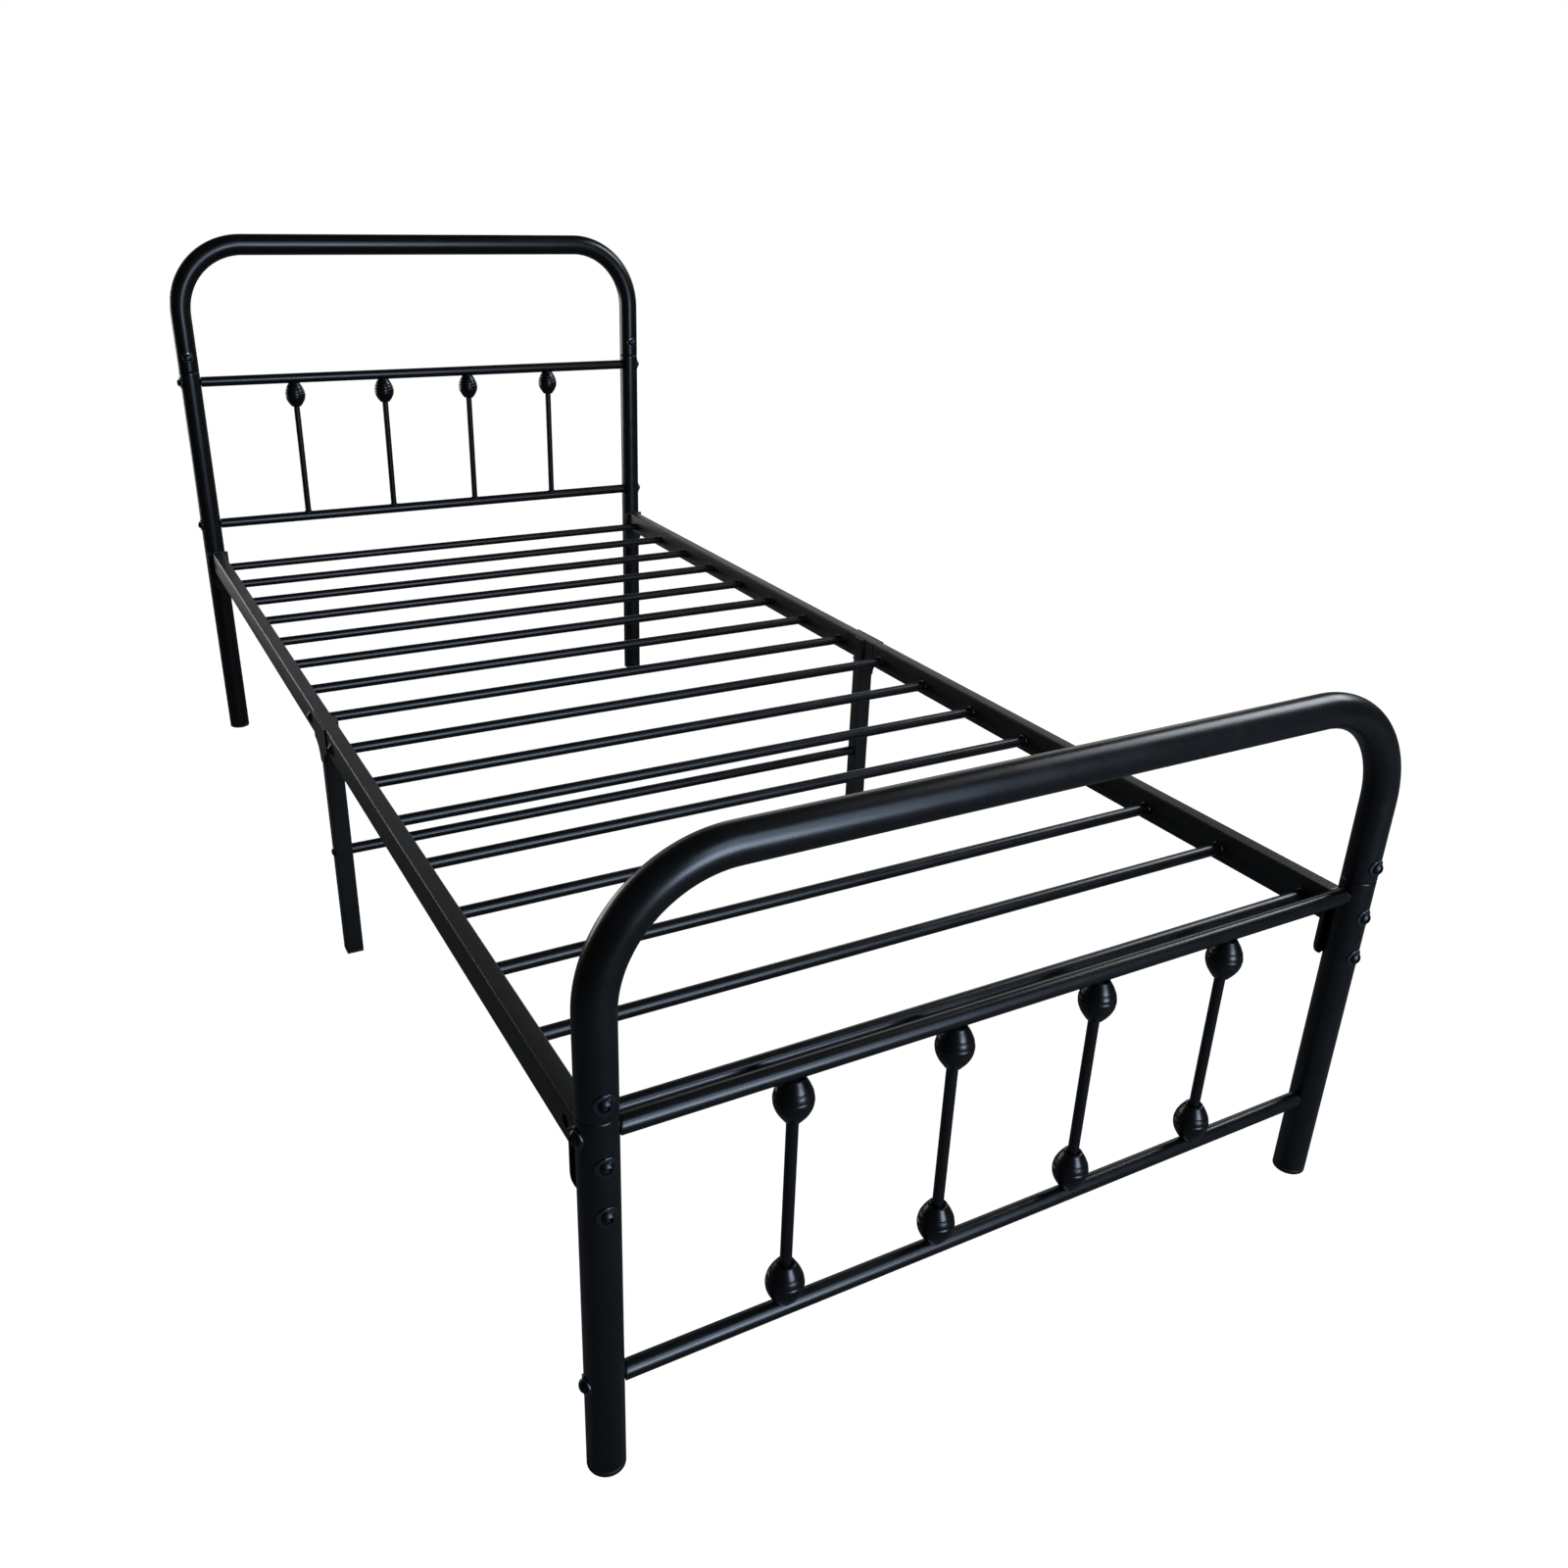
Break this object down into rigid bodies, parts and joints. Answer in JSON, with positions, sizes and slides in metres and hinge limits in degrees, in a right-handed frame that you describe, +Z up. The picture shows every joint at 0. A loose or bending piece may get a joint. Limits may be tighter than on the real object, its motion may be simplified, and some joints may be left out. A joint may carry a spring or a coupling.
{
  "type": "metal bed frame",
  "caption": "Single metal bed frame with arched tube headboard and footboard, beaded spindles, box-section side rails and round tube slats.",
  "frame": {"origin": "floor level at the centre of the bed", "axes": "+Z up, +Y towards the headboard, +X towards the right side of someone lying on their back"},
  "size_m": [0.9792, 2.1012, 0.99],
  "materials": {
    "tube_coat": "satin black powder coat, fine texture",
    "rail_coat": "satin black powder coat, fine texture",
    "bead_coat": "smooth satin black paint",
    "foot_plastic": "moulded black plastic",
    "black_hardware": "black oxide, semi-gloss"
  },
  "bodies": {
    "root": {"headboard_arch": "tube_coat", "headboard_left_post": "tube_coat", "headboard_right_post": "tube_coat", "headboard_upper_crossbar": "tube_coat", "headboard_lower_crossbar": "tube_coat", "headboard_spindle_1": "tube_coat", "headboard_spindle_2": "tube_coat", "headboard_spindle_3": "tube_coat", "headboard_spindle_4": "tube_coat", "headboard_bead_1": "bead_coat", "headboard_bead_2": "bead_coat", "headboard_bead_3": "bead_coat", "headboard_bead_4": "bead_coat", "footboard_arch": "tube_coat", "footboard_left_post": "tube_coat", "footboard_right_post": "tube_coat", "footboard_upper_crossbar": "tube_coat", "footboard_lower_crossbar": "tube_coat", "footboard_spindle_1": "tube_coat", "footboard_spindle_2": "tube_coat", "footboard_spindle_3": "tube_coat", "footboard_spindle_4": "tube_coat", "footboard_upper_bead_1": "bead_coat", "footboard_upper_bead_2": "bead_coat", "footboard_upper_bead_3": "bead_coat", "footboard_upper_bead_4": "bead_coat", "footboard_lower_bead_1": "bead_coat", "footboard_lower_bead_2": "bead_coat", "footboard_lower_bead_3": "bead_coat", "footboard_lower_bead_4": "bead_coat", "head_left_rail": "rail_coat", "head_right_rail": "rail_coat", "foot_left_rail": "rail_coat", "foot_right_rail": "rail_coat", "slat_01": "tube_coat", "slat_02": "tube_coat", "slat_03": "tube_coat", "slat_04": "tube_coat", "slat_05": "tube_coat", "slat_06": "tube_coat", "slat_07": "tube_coat", "slat_08": "tube_coat", "slat_09": "tube_coat", "slat_10": "tube_coat", "slat_11": "tube_coat", "slat_12": "tube_coat", "slat_13": "tube_coat", "slat_14": "tube_coat", "slat_15": "tube_coat", "slat_16": "tube_coat", "middle_left_leg": "rail_coat", "middle_right_leg": "rail_coat", "middle_stretcher": "rail_coat", "post_foot_caps": "foot_plastic", "middle_leg_foot_caps": "foot_plastic", "arch_bolts": "black_hardware", "crossbar_bolts": "black_hardware", "rail_bracket_bolts": "black_hardware", "middle_joint_bolts": "black_hardware", "bolt_washers": "black_hardware"}
  },
  "joints": []
}
